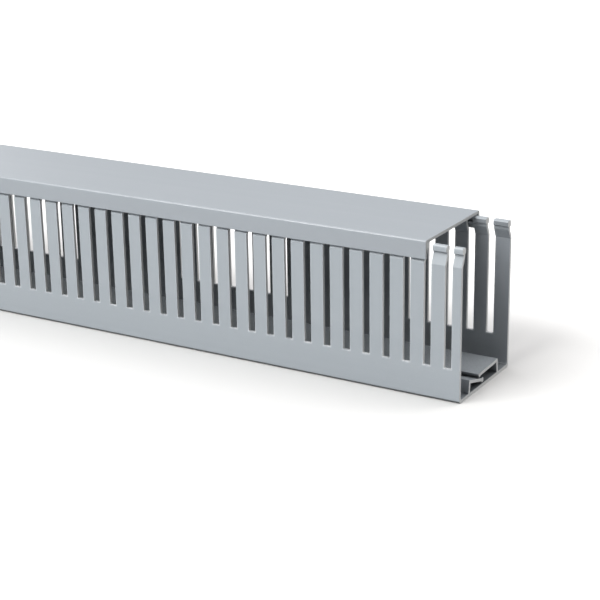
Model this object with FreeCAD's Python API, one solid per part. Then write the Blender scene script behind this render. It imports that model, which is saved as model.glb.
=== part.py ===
import FreeCAD, Part
import math
import os

# Slotted wire duct: a trough with finger walls, and a clip-on cover that slides along it.
# Millimetres. X runs along the duct, Z is up, the origin is the middle of the underside.

os.makedirs("parts", exist_ok=True)

LENGTH = 1000.0              # both extrusions are cut to this length
WIDTH = 65.0                 # over the outer faces of the walls
WALL = 1.8                   # walls and fingers
FLOOR = 2.0
OUTER_CORNER = 2.0           # radius between floor and wall, outside
INNER_CORNER = 1.0           # the same corner inside

# Finger walls
PITCH = 12.5                 # from one finger to the next
SLOT = 4.35                  # gap between two fingers
SLOT_BOTTOM = 19.3           # height where the slots start
FRONT_END_FINGER = 5.2       # finger left at the +X end, front wall
BACK_END_FINGER = 9.0        # the same, back wall
SHORTEST_FINGER = 2.0        # no slot leaves less than this at the far end

# Finger tips: a sloping shoulder, a short neck and a head that is thicker on both sides
SHOULDER_START = 77.6        # height where the wall turns in
SHOULDER_INSET = 2.4         # how far the neck stands in from the wall
SHOULDER_RISE = 5.4
NECK = 1.2                   # upright part under the head
HEAD_OVERHANG = 1.2          # how far the head reaches out over the neck
HEAD_UNDERCUT = 0.5          # rise of the head's lower face
HEAD_FACE = 1.6              # upright part of the head
HEAD_ROUND = 2.6             # radius from that face to the top
HEAD_ROUND_ANGLE = 40.0
HEAD_INNER_BULGE = 1.0       # how far the head reaches in over the neck
HEAD_INNER_CHAMFER = 0.8

# Floor ribs that interlock over the middle, both along the whole length
RIB = 1.8
FRONT_LEG_FOOT = -20.2       # distance from the middle
FRONT_LEG_TOP = -19.1
FRONT_LEG_HEIGHT = 8.6
BULB_CENTRE = -2.7
BULB_HEIGHT = 4.2
BULB_RADIUS = 1.4
BACK_LEG_FOOT = 17.6
BACK_LEG_TOP = 16.7
BACK_LEG_HEIGHT = 9.1
BACK_FLANGE_END = -6.7
BACK_FLANGE_END_HEIGHT = 8.4
LIP_END = -5.9               # the lip of the back flange, turned down over the bulb
LIP_END_HEIGHT = 7.2

# Screw holes in the floor, one row in each side channel
HOLE = 5.5
HOLE_ROW = 26.0              # distance of each row from the middle
HOLE_SPACING = 180.0
HOLE_END_MARGIN = 50.0

# Cover
CLEARANCE = 0.5              # between the cover and the finger tips
COVER_PLATE = 1.9
COVER_FLANGE = 1.8
COVER_OVERLAP = 1.4          # how far each flange stands proud of the wall
COVER_CORNER = 1.3           # outside radius between plate and flange
COVER_INNER_CORNER = 0.6
COVER_FLANGE_HEIGHT = 10.6
COVER_LIP_TIP = 0.6          # thickness of the lip at its tip
COVER_LIP_SLOPE = 1.0        # rise of the lip's lower face
COVER_SETBACK = 20.4         # the cover is slid back by this much at the +X end

HALF = WIDTH / 2
NECK_OUTER = HALF - SHOULDER_INSET
NECK_INNER = NECK_OUTER - WALL
MITRE = WALL * math.tan(math.atan2(SHOULDER_INSET, SHOULDER_RISE) / 2)
SHOULDER_TOP = SHOULDER_START + SHOULDER_RISE
HEAD_OUTER = NECK_OUTER + HEAD_OVERHANG
HEAD_FACE_TOP = SHOULDER_TOP + NECK + HEAD_UNDERCUT + HEAD_FACE
TIP_TOP = HEAD_FACE_TOP + HEAD_ROUND * math.sin(math.radians(HEAD_ROUND_ANGLE))


def point(y, z):
    return FreeCAD.Vector(-LENGTH / 2, y, z)


def outline(start, *steps):
    """Closed face from a start point; a step is the next point, or (middle, end) of an arc."""
    edges, here = [], point(*start)
    for step in steps + (start,):
        if isinstance(step[0], tuple):
            middle, end = point(*step[0]), point(*step[1])
            edges.append(Part.Arc(here, middle, end).toShape())
        else:
            end = point(*step)
            edges.append(Part.makeLine(here, end))
        here = end
    return Part.Face(Part.Wire(edges))


def mirrored(face):
    return face.mirror(FreeCAD.Vector(0, 0, 0), FreeCAD.Vector(0, 1, 0))


def corner_arc(centre_y, centre_z, radius, start_angle, end_angle):
    """Middle and end point of an arc, as one step of an outline."""
    def at(angle):
        turn = math.radians(angle)
        return centre_y + radius * math.cos(turn), centre_z + radius * math.sin(turn)
    return at((start_angle + end_angle) / 2), at(end_angle)


def back_half_section():
    """Back half of the trough: floor, wall, shoulder, neck and head."""
    neck_top = SHOULDER_TOP + NECK
    inner_face = HALF - WALL
    head_inner = NECK_INNER - HEAD_INNER_BULGE
    return outline(
        (0, 0),
        (HALF - OUTER_CORNER, 0),
        corner_arc(HALF - OUTER_CORNER, OUTER_CORNER, OUTER_CORNER, -90, 0),
        (HALF, SHOULDER_START),
        (NECK_OUTER, SHOULDER_TOP),
        (NECK_OUTER, neck_top),
        (HEAD_OUTER, neck_top + HEAD_UNDERCUT),
        (HEAD_OUTER, HEAD_FACE_TOP),
        corner_arc(HEAD_OUTER - HEAD_ROUND, HEAD_FACE_TOP, HEAD_ROUND, 0, HEAD_ROUND_ANGLE),
        (NECK_INNER, TIP_TOP),
        (head_inner, TIP_TOP - HEAD_INNER_CHAMFER),
        (head_inner, neck_top + HEAD_INNER_CHAMFER),
        (NECK_INNER, neck_top),
        (NECK_INNER, SHOULDER_TOP - MITRE),
        (inner_face, SHOULDER_START - MITRE),
        (inner_face, FLOOR + INNER_CORNER),
        corner_arc(inner_face - INNER_CORNER, FLOOR + INNER_CORNER, INNER_CORNER, 0, -90),
        (0, FLOOR))


def band(points, thickness):
    """Face of even thickness along a bent line, mitred at its bends."""
    path = [FreeCAD.Vector(0, y, z) for y, z in points]
    runs = [(b - a).normalize() for a, b in zip(path, path[1:])]
    sides = [FreeCAD.Vector(0, -run.z, run.y) for run in runs]
    left, right = [], []
    for index, corner in enumerate(path):
        before = sides[max(index - 1, 0)]
        after = sides[min(index, len(sides) - 1)]
        offset = (before + after) * (thickness / 2 / (1 + before.dot(after)))
        left.append((corner + offset)[1:])
        right.append((corner - offset)[1:])
    return outline(left[0], *left[1:], *reversed(right))


def front_rib_section():
    """Leg and sloping flange that ends in a round bulb under the other flange."""
    foot = (FRONT_LEG_FOOT, FLOOR / 2)
    flange = band([foot, (FRONT_LEG_TOP, FRONT_LEG_HEIGHT), (BULB_CENTRE, BULB_HEIGHT)], RIB)
    circle = Part.makeCircle(BULB_RADIUS, point(BULB_CENTRE, BULB_HEIGHT), FreeCAD.Vector(1, 0, 0))
    return flange.fuse(Part.Face(Part.Wire(circle)))


def back_rib_section():
    """Leg and wide flange that ends in a lip turned down over the bulb."""
    return band([(BACK_LEG_FOOT, FLOOR / 2),
                 (BACK_LEG_TOP, BACK_LEG_HEIGHT),
                 (BACK_FLANGE_END, BACK_FLANGE_END_HEIGHT),
                 (LIP_END, LIP_END_HEIGHT)], RIB)


def extruded(faces, start=0.0):
    """Draw each face out to the full length and join the lot into one solid."""
    solids = [face.extrude(FreeCAD.Vector(LENGTH, 0, 0)) for face in faces]
    solid = solids[0].multiFuse(solids[1:]).removeSplitter()
    solid.translate(FreeCAD.Vector(start, 0, 0))
    return solid


def slot_starts(end_finger):
    """Distances from the +X end to the near side of each slot."""
    room = LENGTH - SHORTEST_FINGER - SLOT - end_finger
    return [end_finger + PITCH * index for index in range(int(room // PITCH) + 1)]


def wall_slots(side, end_finger):
    """Cutters for one wall; side is -1 for the front and +1 for the back."""
    inside, outside = NECK_INNER - WALL, HALF + WALL
    near = inside if side > 0 else -outside
    return [Part.makeBox(SLOT, outside - inside, TIP_TOP + WALL - SLOT_BOTTOM,
                         FreeCAD.Vector(LENGTH / 2 - start - SLOT, near, SLOT_BOTTOM))
            for start in slot_starts(end_finger)]


def screw_holes():
    count = int((LENGTH - 2 * HOLE_END_MARGIN) // HOLE_SPACING) + 1
    first = -HOLE_SPACING * (count - 1) / 2
    return [Part.makeCylinder(HOLE / 2, 3 * FLOOR,
                              FreeCAD.Vector(first + HOLE_SPACING * index, row, -FLOOR))
            for row in (-HOLE_ROW, HOLE_ROW) for index in range(count)]


def duct_base():
    half = back_half_section()
    trough = extruded([half, mirrored(half), front_rib_section(), back_rib_section()])
    cutters = wall_slots(-1, FRONT_END_FINGER) + wall_slots(1, BACK_END_FINGER) + screw_holes()
    return trough.cut(Part.makeCompound(cutters))


def cover_half_section():
    """Back half of the cover: plate, side flange and the lip that hooks under the head."""
    under_plate = TIP_TOP + CLEARANCE
    top = under_plate + COVER_PLATE
    outer = HALF + COVER_OVERLAP
    inner = outer - COVER_FLANGE
    lip_y = NECK_OUTER + CLEARANCE
    lip_top = SHOULDER_TOP + NECK + HEAD_UNDERCUT / 2 - CLEARANCE
    lip_low = lip_top - COVER_LIP_TIP
    return outline(
        (0, under_plate),
        (inner - COVER_INNER_CORNER, under_plate),
        corner_arc(inner - COVER_INNER_CORNER, under_plate - COVER_INNER_CORNER, COVER_INNER_CORNER, 90, 0),
        (inner, lip_top),
        (lip_y, lip_top),
        (lip_y, lip_low),
        (inner, lip_low - COVER_LIP_SLOPE),
        (inner, top - COVER_FLANGE_HEIGHT),
        (outer, top - COVER_FLANGE_HEIGHT),
        (outer, top - COVER_CORNER),
        corner_arc(outer - COVER_CORNER, top - COVER_CORNER, COVER_CORNER, 0, 90),
        (0, top))


def duct_cover():
    half = cover_half_section()
    return extruded([half, mirrored(half)], -COVER_SETBACK)


for name, make in (("duct_base", duct_base), ("duct_cover", duct_cover)):
    shape = make().removeSplitter()
    solid = shape.Solids[0]
    solid.exportStep("parts/" + name + ".step")
    box = solid.BoundBox
    print(name, len(shape.Solids), solid.isValid(), round(solid.Volume),
          [round(v, 2) for v in (box.XMin, box.XMax, box.YMin, box.YMax, box.ZMin, box.ZMax)])
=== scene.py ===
import bpy
import bmesh
import math
import numpy as np
from mathutils import Euler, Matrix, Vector


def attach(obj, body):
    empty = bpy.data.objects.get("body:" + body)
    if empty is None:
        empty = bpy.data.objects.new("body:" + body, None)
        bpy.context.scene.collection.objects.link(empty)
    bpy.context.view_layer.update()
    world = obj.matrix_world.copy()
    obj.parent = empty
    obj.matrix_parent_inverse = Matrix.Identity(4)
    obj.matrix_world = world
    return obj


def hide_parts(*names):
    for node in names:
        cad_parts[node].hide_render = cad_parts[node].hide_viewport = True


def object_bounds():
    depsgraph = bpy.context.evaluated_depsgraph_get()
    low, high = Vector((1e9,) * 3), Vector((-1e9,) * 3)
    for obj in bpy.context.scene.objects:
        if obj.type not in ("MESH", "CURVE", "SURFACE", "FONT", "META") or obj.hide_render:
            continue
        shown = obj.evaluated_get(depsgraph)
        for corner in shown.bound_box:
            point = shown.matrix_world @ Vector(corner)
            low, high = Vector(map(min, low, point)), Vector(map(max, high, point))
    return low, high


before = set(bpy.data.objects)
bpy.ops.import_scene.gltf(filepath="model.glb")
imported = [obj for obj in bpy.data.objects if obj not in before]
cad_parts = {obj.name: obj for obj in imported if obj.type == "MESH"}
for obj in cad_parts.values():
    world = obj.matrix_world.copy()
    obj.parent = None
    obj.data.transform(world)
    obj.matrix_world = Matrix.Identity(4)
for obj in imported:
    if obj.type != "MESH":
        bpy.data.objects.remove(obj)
cadLow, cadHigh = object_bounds()
print("frame loaded:", ", ".join(sorted(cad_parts)))

mm = 0.001    # everything is in metres


# Small helpers for node trees

def newGroup(name, inputs, outputs):
    group = bpy.data.node_groups.new(name, "ShaderNodeTree")
    for direction, labels in (("INPUT", inputs), ("OUTPUT", outputs)):
        for label in labels:
            group.interface.new_socket(label, in_out=direction, socket_type="NodeSocketFloat")
    return group, group.nodes.new("NodeGroupInput").outputs, group.nodes.new("NodeGroupOutput").inputs


def addNode(tree, kind, **settings):
    node = tree.nodes.new(kind)
    for key, value in settings.items():
        setattr(node, key, value)
    return node


def useGroup(tree, group, values=None):
    # a group placed in a material, with that material's own values
    node = addNode(tree, "ShaderNodeGroup", node_tree=group)
    for label, value in (values or {}).items():
        node.inputs[label].default_value = value
    return node.outputs


def plug(tree, value, socket):
    # a number or a colour goes on the socket itself, anything else is linked to it
    if isinstance(value, (int, float)):
        socket.default_value = value
    elif isinstance(value, tuple):
        socket.default_value = (*value, 1.0) if len(socket.default_value) == 4 else value
    else:
        tree.links.new(value, socket)


def calc(tree, operation, *values, clamp=False):
    node = addNode(tree, "ShaderNodeMath", operation=operation, use_clamp=clamp)
    for socket, value in zip(node.inputs, values):
        plug(tree, value, socket)
    return node.outputs[0]


def diagonal(tree, first, second):
    # the root of the sum of two squares
    squares = [calc(tree, "POWER", side, 2.0) for side in (first, second)]
    return calc(tree, "SQRT", calc(tree, "ADD", *squares))


def ramp(tree, source, low, high):
    # 0 at low, 1 at high, held beyond both
    node = addNode(tree, "ShaderNodeMapRange", clamp=True)
    for label, value in (("Value", source), ("From Min", low), ("From Max", high)):
        plug(tree, value, node.inputs[label])
    return node.outputs["Result"]


def objectPoint(tree, scale=(1.0, 1.0, 1.0)):
    coords = addNode(tree, "ShaderNodeTexCoord")
    mapping = addNode(tree, "ShaderNodeMapping")
    mapping.inputs["Scale"].default_value = scale
    tree.links.new(coords.outputs["Object"], mapping.inputs["Vector"])
    return mapping.outputs["Vector"]


def noise(tree, waves, detail=3.0, roughness=0.55):
    # waves are counted per metre along X, Y and Z
    node = addNode(tree, "ShaderNodeTexNoise")
    for label, value in (("Vector", objectPoint(tree, waves)), ("Scale", 1.0),
                         ("Detail", detail), ("Roughness", roughness)):
        plug(tree, value, node.inputs[label])
    return node.outputs["Fac"]


def splitAxes(tree, vector):
    node = addNode(tree, "ShaderNodeSeparateXYZ")
    tree.links.new(vector, node.inputs["Vector"])
    return node.outputs


def faceNormal(tree):
    return splitAxes(tree, addNode(tree, "ShaderNodeNewGeometry").outputs["Normal"])


def mixColour(tree, factor, first, second):
    node = addNode(tree, "ShaderNodeMix", data_type="RGBA")
    # its seventh and eighth inputs and its third output are the ones for colours
    for value, socket in ((factor, node.inputs["Factor"]), (first, node.inputs[6]), (second, node.inputs[7])):
        plug(tree, value, socket)
    return node.outputs[2]


# Effects for the plastics, each a group that puts out masks and heights

def makeDrawLines():
    # long streaks along X, as an extrusion die leaves them: noise squeezed along the duct
    fineWaves, broadWaves, fineShare = (2.0, 900.0, 900.0), (0.8, 110.0, 110.0), 0.4
    toneRange = (0.3, 0.7)
    group, _, out = newGroup("drawLines", [], ["Height", "Tone"])
    fine = calc(group, "MULTIPLY", noise(group, fineWaves, detail=2.0), fineShare)
    broad = noise(group, broadWaves)
    height = calc(group, "ADD", fine, calc(group, "MULTIPLY", broad, 1.0 - fineShare))
    group.links.new(height, out["Height"])
    group.links.new(ramp(group, broad, *toneRange), out["Tone"])
    return group


def makeCutFaces():
    # mask of the faces that look along X, with upright scoring from the saw and the punch; the colour laid on
    # it is partly painted light
    facingRange = (0.75, 0.95)
    scoringWaves = (400.0, 2600.0, 160.0)
    group, _, out = newGroup("cutFaces", [], ["Mask", "Height"])
    mask = ramp(group, calc(group, "ABSOLUTE", faceNormal(group)["X"]), *facingRange)
    group.links.new(mask, out["Mask"])
    scoring = noise(group, scoringWaves, detail=2.0)
    group.links.new(calc(group, "MULTIPLY", scoring, mask), out["Height"])
    return group


def makeHandling():
    # faint scuffs and dust: specks inside wide patches
    patchWaves, patchRange = (14.0, 22.0, 22.0), (0.50, 0.72)
    speckWaves, speckRange = (700.0, 1100.0, 1100.0), (0.56, 0.70)
    group, into, out = newGroup("handling", ["Amount"], ["Mask"])
    patches = ramp(group, noise(group, patchWaves, detail=4.0, roughness=0.65), *patchRange)
    specks = ramp(group, noise(group, speckWaves, detail=2.0), *speckRange)
    dusty = calc(group, "MULTIPLY", patches, specks)
    group.links.new(calc(group, "MULTIPLY", dusty, into["Amount"]), out["Mask"])
    return group


def makeSlotRimHighlights():
    # painted highlights along the slot edges, from the distance to the nearest slot: a box that repeats every
    # Pitch along X and is open at the top; the front and back rows have their own start and number of slots
    patchyWaves, patchyRange = (300.0, 300.0, 60.0), (0.25, 0.6)
    thinningRange, thinnedBy = (1.0 * mm, 6.0 * mm), 0.75    # above the slot's foot
    group, into, out = newGroup("slotRimHighlights", ["Pitch", "Slot", "Foot", "Rim", "Front Start", "Back Start",
                                              "Front Slots", "Back Slots"], ["Mask"])
    place = splitAxes(group, objectPoint(group))
    isBack = calc(group, "GREATER_THAN", place["Y"], 0.0)

    def ofRow(label):
        # the front row's value, with the difference added on the back row
        front, back = into["Front " + label], into["Back " + label]
        difference = calc(group, "SUBTRACT", back, front)
        return calc(group, "ADD", front, calc(group, "MULTIPLY", isBack, difference))

    halfSlot = calc(group, "MULTIPLY", into["Slot"], 0.5)
    halfPitch = calc(group, "MULTIPLY", into["Pitch"], 0.5)
    firstMiddle = calc(group, "SUBTRACT", ofRow("Start"), halfSlot)
    along = calc(group, "SUBTRACT", firstMiddle, place["X"])
    fromMiddle = calc(group, "PINGPONG", along, halfPitch)
    aside = calc(group, "MAXIMUM", calc(group, "SUBTRACT", fromMiddle, halfSlot), 0.0)
    under = calc(group, "MAXIMUM", calc(group, "SUBTRACT", into["Foot"], place["Z"]), 0.0)
    share = calc(group, "DIVIDE", diagonal(group, aside, under), into["Rim"])
    near = calc(group, "SUBTRACT", 1.0, share, clamp=True)
    # no rims outside the row, more than half a pitch before its first slot or after its last one
    rowEnd = calc(group, "SUBTRACT", calc(group, "MULTIPLY", ofRow("Slots"), into["Pitch"]), halfPitch)
    afterStart = calc(group, "GREATER_THAN", along, calc(group, "MULTIPLY", halfPitch, -1.0))
    inRow = calc(group, "MULTIPLY", afterStart, calc(group, "LESS_THAN", along, rowEnd))
    # the painted highlight is strongest under the slot and thins out up its sides
    higher = ramp(group, calc(group, "SUBTRACT", place["Z"], into["Foot"]), *thinningRange)
    strength = calc(group, "SUBTRACT", 1.0, calc(group, "MULTIPLY", higher, thinnedBy))
    patchy = ramp(group, noise(group, patchyWaves, detail=2.0), *patchyRange)
    mask = near
    for factor in (patchy, inRow, strength):
        mask = calc(group, "MULTIPLY", mask, factor)
    group.links.new(mask, out["Mask"])
    return group


def makeCornerPolishAndHighlight():
    # mask of the outer corners along X, which get a smoother finish and a painted highlight:
    # the sideways and upward parts of the normal multiplied, 0.5 at 45 degrees and less elsewhere
    cornerRange = (0.38, 0.495)
    group, _, out = newGroup("cornerPolishAndHighlight", [], ["Mask"])
    normal = faceNormal(group)
    turned = calc(group, "MULTIPLY", calc(group, "ABSOLUTE", normal["Y"]), normal["Z"])
    group.links.new(ramp(group, turned, *cornerRange), out["Mask"])
    return group


def makePaintedShadeMasks():
    # masks for painted shade in narrow places and inside the duct, mostly from the share of open air round a
    # point
    narrowRange, deepRange, deepFloorRange = (0.80, 0.30), (0.97, 0.62), (0.72, 0.42)    # of that share
    leaningRange, notFlatRange = (0.10, 0.45), (0.98, 0.90)    # of the downward part of the normal
    upwardRange = (0.3, 0.7)                                   # of its upward part
    inwardRange = (-12.0 * mm, -22.0 * mm)                     # of Y times the normal's Y
    raysPerPoint = 6
    group, into, out = newGroup("paintedShadeMasks", ["Reach", "Corner Height", "Depth"],
                                ["Mask", "Inner Wall Shade", "Inner Floor Shade"])

    def openAir(reach):
        node = addNode(group, "ShaderNodeAmbientOcclusion", samples=raysPerPoint, only_local=True)
        group.links.new(into[reach], node.inputs["Distance"])
        return node.outputs["AO"]

    place, normal = splitAxes(group, objectPoint(group)), faceNormal(group)
    # painted shade in grooves, and on the rounded corner that the duct rests on
    narrow = ramp(group, openAir("Reach"), *narrowRange)
    down = calc(group, "MULTIPLY", normal["Z"], -1.0)
    leaning = calc(group, "MULTIPLY", ramp(group, down, *leaningRange), ramp(group, down, *notFlatRange))
    low = calc(group, "LESS_THAN", place["Z"], into["Corner Height"])
    corner = calc(group, "MULTIPLY", leaning, low)
    group.links.new(calc(group, "MAXIMUM", narrow, corner), out["Mask"])
    # painted shade on faces that look at the middle of the duct, and on whatever else lies deep inside
    inside = openAir("Depth")
    inward = ramp(group, calc(group, "MULTIPLY", normal["Y"], place["Y"]), *inwardRange)
    group.links.new(calc(group, "MAXIMUM", inward, ramp(group, inside, *deepRange)), out["Inner Wall Shade"])
    # painted shade on upward faces between the walls
    upward = ramp(group, normal["Z"], *upwardRange)
    group.links.new(calc(group, "MULTIPLY", ramp(group, inside, *deepFloorRange), upward), out["Inner Floor Shade"])
    return group


drawLines, cutFaces, handling = makeDrawLines(), makeCutFaces(), makeHandling()
slotRimHighlights, cornerPolishAndHighlight, paintedShadeMasks = makeSlotRimHighlights(), makeCornerPolishAndHighlight(), makePaintedShadeMasks()
print("effects made")


# Grey rigid plastic: what the trough and the cover have in common, with linear colours

greyPlastic = {
    "dust": (0.470, 0.480, 0.480),
    "innerWallShade": (0.225, 0.243, 0.262),    # painted shade on the inner faces
    "innerFloorShade": (0.105, 0.115, 0.125),    # painted shade on the floor between the walls
    "creviceShade": (0.085, 0.089, 0.092),     # painted shade in grooves and on the corner the duct rests on
    "refraction": 1.50,
    "roughness": 0.36,
    "roughnessSpread": 0.10,            # from the grain
    "cutRoughness": 0.60,
    "dustRoughness": 0.56,
    "polishedRoughness": 0.28,
    "grainWaves": (1500.0, 1500.0, 1500.0),
    "grainDepth": 0.015 * mm,
    "streakDepth": 0.012 * mm,
    "scoringDepth": 0.060 * mm,
    "creviceReach": 2.2 * mm,
    "cornerHeight": 1.9 * mm,           # of the corner that rests on the floor
    "insideDepth": 75.0 * mm,
    "edgeSegments": 2,
    "sharpFrom": 18,                    # degrees between two faces
}


def makePlastic(name, look):
    material = bpy.data.materials.new(name)
    material.use_nodes = True
    tree = material.node_tree
    shader = tree.nodes["Principled BSDF"]
    shader.inputs["IOR"].default_value = look["refraction"]
    # the cut face colour is partly real and partly painted light
    streaks, cutFacesAndPaintedLight = useGroup(tree, drawLines), useGroup(tree, cutFaces)
    dust = useGroup(tree, handling, {"Amount": look["dustAmount"]})["Mask"]
    # rounded corners with a smoother finish and a painted highlight
    polishAndPaintedHighlight = useGroup(tree, cornerPolishAndHighlight)["Mask"]
    # painted shade in grooves, on the corner the duct rests on, and inside the duct
    dark = useGroup(tree, paintedShadeMasks, {"Reach": look["creviceReach"], "Corner Height": look["cornerHeight"],
                                     "Depth": look["insideDepth"]})
    # the inner wall and inner floor layers are painted shade
    layers = [(dark["Inner Wall Shade"], "innerWallShade"), (dark["Inner Floor Shade"], "innerFloorShade")]
    if "slotRimHighlight" in look:    # only the trough has slots; their rims carry a painted highlight
        rims = useGroup(tree, slotRimHighlights, {
            "Pitch": look["slotPitch"], "Slot": look["slotWidth"], "Foot": look["slotFoot"],
            "Rim": look["rimWidth"], "Front Start": cadHigh[0] - look["frontEndFinger"],
            "Back Start": cadHigh[0] - look["backEndFinger"],
            "Front Slots": look["frontSlots"], "Back Slots": look["backSlots"]})
        layers.append((rims["Mask"], "slotRimHighlight"))
    layers += [(polishAndPaintedHighlight, "polishAndPaintedHighlight"), (cutFacesAndPaintedLight["Mask"], "cutFacesAndPaintedLight"), (dust, "dust"), (dark["Mask"], "creviceShade")]
    colour = mixColour(tree, streaks["Tone"], look["base"], look["streak"])
    # each layer covers those before it
    for mask, layer in layers:
        colour = mixColour(tree, mask, colour, look[layer])
    tree.links.new(colour, shader.inputs["Base Color"])
    grain = noise(tree, look["grainWaves"])
    rough = calc(tree, "ADD", calc(tree, "MULTIPLY", grain, look["roughnessSpread"]),
                 look["roughness"] - look["roughnessSpread"] / 2)
    for mask, finish in ((cutFacesAndPaintedLight["Mask"], "cutRoughness"), (dust, "dustRoughness"),
                         (polishAndPaintedHighlight, "polishedRoughness")):
        rough = calc(tree, "ADD", rough, calc(tree, "MULTIPLY", mask, look[finish] - look["roughness"]))
    tree.links.new(rough, shader.inputs["Roughness"])
    relief = calc(tree, "MULTIPLY", grain, look["grainDepth"])
    for height, depth in ((streaks["Height"], "streakDepth"), (cutFacesAndPaintedLight["Height"], "scoringDepth")):
        relief = calc(tree, "ADD", relief, calc(tree, "MULTIPLY", height, look[depth]))
    bump = addNode(tree, "ShaderNodeBump")
    bump.inputs["Distance"].default_value = 1.0
    tree.links.new(relief, bump.inputs["Height"])
    tree.links.new(bump.outputs["Normal"], shader.inputs["Normal"])
    print("material made:", name)
    return material


# The two extrusions, each finished from a merged copy of the frame's own solid

def mergedCopy(node, name):
    # the node's loose triangles joined at their corners, and flat neighbours turned into whole faces
    weldWithin, flatWithin = 1e-6, 1.0    # metres, degrees
    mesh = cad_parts[node].data.copy()
    mesh.name = name
    bm = bmesh.new()
    bm.from_mesh(mesh)
    bmesh.ops.remove_doubles(bm, verts=bm.verts, dist=weldWithin)
    bmesh.ops.dissolve_limit(bm, angle_limit=math.radians(flatWithin), verts=bm.verts, edges=bm.edges)
    return mesh, bm


def roundSlotFeet(bm, look):
    # the corners at the foot of each slot are the edges along Y at that height
    levelWithin, squareWithin = 1e-5, 1e-6    # metres
    corners = [edge for edge in bm.edges
               if all(abs(vert.co.z - look["slotFoot"]) < levelWithin for vert in edge.verts)
               and abs(edge.verts[0].co.x - edge.verts[1].co.x) < squareWithin]
    bmesh.ops.bevel(bm, geom=corners, offset=look["slotCornerRadius"], offset_type="OFFSET",
                    segments=look["slotCornerSegments"], affect="EDGES", profile=0.5)    # 0.5 is an arc
    print("slot corners rounded:", len(corners))


def finishPiece(mesh, bm, look, material, body, node):
    bm.to_mesh(mesh)
    bm.free()
    mesh.materials.clear()
    mesh.materials.append(material)
    mesh.polygons.foreach_set("use_smooth", np.ones(len(mesh.polygons), bool))
    piece = bpy.data.objects.new(mesh.name, mesh)
    bpy.context.scene.collection.objects.link(piece)
    bevel = piece.modifiers.new("softEdges", "BEVEL")
    bevel.width, bevel.segments = look["edgeRadius"], look["edgeSegments"]
    bevel.limit_method, bevel.angle_limit = "ANGLE", math.radians(look["sharpFrom"])
    bevel.miter_outer = "MITER_ARC"
    level = piece.modifiers.new("flatFacesStayFlat", "WEIGHTED_NORMAL")
    level.mode, level.weight = "FACE_AREA", 100    # the largest faces count most
    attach(piece, body)
    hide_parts(node)
    print(piece.name, "has", len(mesh.polygons), "faces before its edges are rounded")


slottedTrough = {
    **greyPlastic,
    "base": (0.360, 0.390, 0.416),      # cool mid grey
    "streak": (0.346, 0.377, 0.404),    # the same in the darker die streaks
    "cutFacesAndPaintedLight": (0.490, 0.497, 0.492),       # sawn and punched faces scatter more, and painted light lifts them where the lamps leave them dark
    "polishAndPaintedHighlight": (0.365, 0.395, 0.421),  # painted highlight on the rounded corners
    "dustAmount": 0.30,
    "slotRimHighlight": (0.580, 0.600, 0.620),       # painted highlight along the slot edges
    "rimWidth": 0.9 * mm,
    "slotPitch": 12.5 * mm,             # where the slots are in the solid
    "slotWidth": 4.35 * mm,
    "slotFoot": 19.3 * mm,
    "frontEndFinger": 5.2 * mm,
    "backEndFinger": 9.0 * mm,
    "frontSlots": 80,
    "backSlots": 79,
    "slotCornerRadius": 0.7 * mm,
    "slotCornerSegments": 3,
    "edgeRadius": 0.20 * mm,
}
troughMesh, troughShape = mergedCopy("duct_base", "slottedTrough")
roundSlotFeet(troughShape, slottedTrough)
troughPlastic = makePlastic("troughPlastic", slottedTrough)
finishPiece(troughMesh, troughShape, slottedTrough, troughPlastic, "base", "duct_base")

clipCover = {
    **greyPlastic,
    "base": (0.332, 0.357, 0.383),      # a little darker than the trough
    "streak": (0.320, 0.346, 0.373),
    "cutFacesAndPaintedLight": (0.345, 0.352, 0.350),
    # painted highlight on the rounded corners
    "polishAndPaintedHighlight": (0.345, 0.370, 0.395),
    "dustAmount": 0.22,
    "edgeRadius": 0.25 * mm,
}
coverMesh, coverShape = mergedCopy("duct_cover", "clipCover")
coverPlastic = makePlastic("coverPlastic", clipCover)
finishPiece(coverMesh, coverShape, clipCover, coverPlastic, "cover", "duct_cover")


# White sweep, light and camera

whiteSweep = {
    "halfWidth": 6.0,                   # metres, along X
    "front": -5.0,                      # where the floor starts
    "bendStart": 5.0,
    "bendRadius": 2.0,
    "bendSteps": 24,
    "wallTop": 6.0,
    "columns": 9,
    "tone": (0.615, 0.612, 0.605),
    "bounce": (0.42, 0.43, 0.44),       # what the sweep gives back to the duct as soft light
    "roughness": 0.9,
    "gloss": 0.1,
    "nearGlow": 0.05,                   # painted glow beside the duct, seen only by the camera
    "farGlow": 0.60,                    # and further off
    "glowReach": 0.25,                  # metres over which it rises
    "glowTint": (1.0, 1.0, 1.0),
}


def makeGlowingWhite(look):
    material = bpy.data.materials.new("whiteSweep")
    material.use_nodes = True
    tree = material.node_tree
    shader = tree.nodes["Principled BSDF"]
    shader.inputs["Roughness"].default_value = look["roughness"]
    shader.inputs["Specular IOR Level"].default_value = look["gloss"]
    rays = addNode(tree, "ShaderNodeLightPath").outputs
    colour = mixColour(tree, rays["Is Diffuse Ray"], look["tone"], look["bounce"])
    tree.links.new(colour, shader.inputs["Base Color"])
    # the painted glow, seen only by the camera, grows with the distance from the duct's footprint, a
    # rectangle on the floor
    place = splitAxes(tree, objectPoint(tree))
    past = [calc(tree, "MAXIMUM", calc(tree, "SUBTRACT", calc(tree, "ABSOLUTE", place[axis]), half), 0.0)
            for axis, half in (("X", cadHigh[0]), ("Y", cadHigh[1]))]
    away = ramp(tree, diagonal(tree, *past), 0.0, look["glowReach"])
    rise = calc(tree, "MULTIPLY", away, look["farGlow"] - look["nearGlow"])
    glow = calc(tree, "MULTIPLY", rays["Is Camera Ray"], calc(tree, "ADD", rise, look["nearGlow"]))
    shader.inputs["Emission Color"].default_value = (*look["glowTint"], 1.0)
    tree.links.new(glow, shader.inputs["Emission Strength"])
    return material


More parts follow.
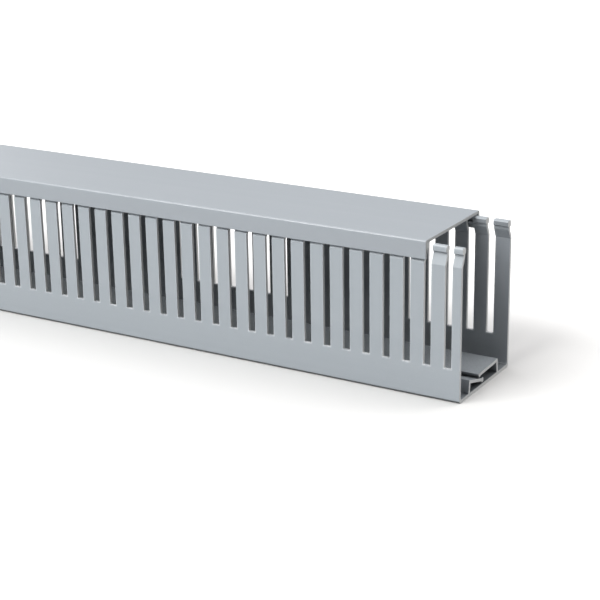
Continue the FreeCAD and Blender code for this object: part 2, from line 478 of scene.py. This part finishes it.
def makeSweep(look):
    # a profile in the YZ plane carried along X: flat floor, a quarter circle, then an upright wall
    turn = np.linspace(0.0, np.pi / 2, look["bendSteps"])
    y = np.concatenate([[look["front"]], look["bendStart"] + look["bendRadius"] * np.sin(turn),
                        [look["bendStart"] + look["bendRadius"]]])
    z = np.concatenate([[0.0], look["bendRadius"] * (1 - np.cos(turn)), [look["wallTop"]]])
    x = np.linspace(-1.0, 1.0, look["columns"]) * look["halfWidth"]
    across, along = np.meshgrid(x, np.arange(len(y)), indexing="ij")
    points = np.stack([across, y[along], z[along]], axis=-1).reshape(-1, 3)
    first = (np.arange(len(x) - 1)[:, None] * len(y) + np.arange(len(y) - 1)).ravel()
    quads = np.stack([first, first + len(y), first + len(y) + 1, first + 1], axis=-1)
    mesh = bpy.data.meshes.new("whiteSweep")
    mesh.from_pydata(points.tolist(), [], quads.tolist())
    mesh.polygons.foreach_set("use_smooth", np.ones(len(quads), bool))
    mesh.materials.append(makeGlowingWhite(look))
    sweep = bpy.data.objects.new("whiteSweep", mesh)
    bpy.context.scene.collection.objects.link(sweep)


softRoom = {
    "behind": 0.95,                     # brightness of the white surroundings behind the duct
    "cameraSide": 0.15,                 # and of the room on the camera's side
    "fadeRange": (-0.6, 0.5),           # from one to the other, as the direction's Y
    "seen": 1.0,                        # what a camera sees of it, white all round
    "tint": (1.0, 0.99, 1.0),
}


def makeRoom(look):
    # the surroundings fade from the white side behind the duct to the dimmer camera side
    world = bpy.data.worlds.new("softRoom")
    world.use_nodes = True
    tree = world.node_tree
    background = tree.nodes["Background"]
    background.inputs["Color"].default_value = (*look["tint"], 1.0)
    direction = splitAxes(tree, addNode(tree, "ShaderNodeTexCoord").outputs["Generated"])
    behind = ramp(tree, direction["Y"], *look["fadeRange"])
    strength = calc(tree, "ADD", look["cameraSide"],
                    calc(tree, "MULTIPLY", behind, look["behind"] - look["cameraSide"]))
    isSeen = addNode(tree, "ShaderNodeLightPath").outputs["Is Camera Ray"]
    tree.links.new(calc(tree, "MAXIMUM", strength, calc(tree, "MULTIPLY", isSeen, look["seen"])),
                   background.inputs["Strength"])
    bpy.context.scene.world = world


def aimAt(thing, place, target, roll=0.0):
    thing.location = place
    turn = (Vector(target) - Vector(place)).to_track_quat("-Z", "Y")
    thing.rotation_euler = (turn.to_matrix() @ Euler((0, 0, roll)).to_matrix()).to_euler()


# sizes and places in metres
softboxes = {
    "keyBox": {"watts": 128.0, "size": (2.4, 1.2), "tint": (0.985, 0.99, 0.985),
               "place": (-0.65, -2.10, 2.25), "aim": (0.15, 0.0, 0.04)},
    "overheadBox": {"watts": 8.0, "size": (1.8, 1.0), "tint": (1.0, 0.98, 0.985),
                    "place": (0.35, 0.30, 1.9), "aim": (0.30, 0.0, 0.0)},
    "rearFill": {"watts": 28.0, "size": (1.5, 1.0), "tint": (1.0, 0.99, 0.97),
                 "place": (1.7, 1.7, 1.5), "aim": (0.2, 0.0, 0.04)},
}


def makeSoftbox(name, look):
    light = bpy.data.lights.new(name, "AREA")
    light.shape = "RECTANGLE"
    light.energy, light.color = look["watts"], look["tint"]
    light.size, light.size_y = look["size"]
    box = bpy.data.objects.new(name, light)
    bpy.context.scene.collection.objects.link(box)
    aimAt(box, look["place"], look["aim"])


photoCamera = {
    "place": (0.84475, -0.77066, 0.33885),
    "target": (0.40031, -0.0325, 0.04389),
    "roll": -0.936,                     # degrees
    "lens": 96.94,                      # mm
    "sensor": 36.0,
    "clip": (0.05, 50.0),
}


def makeCamera(look):
    data = bpy.data.cameras.new("photoCamera")
    data.sensor_width, data.lens = look["sensor"], look["lens"]
    data.clip_start, data.clip_end = look["clip"]
    camera = bpy.data.objects.new("photoCamera", data)
    bpy.context.scene.collection.objects.link(camera)
    aimAt(camera, look["place"], look["target"], math.radians(look["roll"]))
    bpy.context.scene.camera = camera


makeSweep(whiteSweep)
makeRoom(softRoom)
for name, look in softboxes.items():
    makeSoftbox(name, look)
makeCamera(photoCamera)
bpy.context.scene.view_settings.view_transform = "Standard"
print("studio ready")
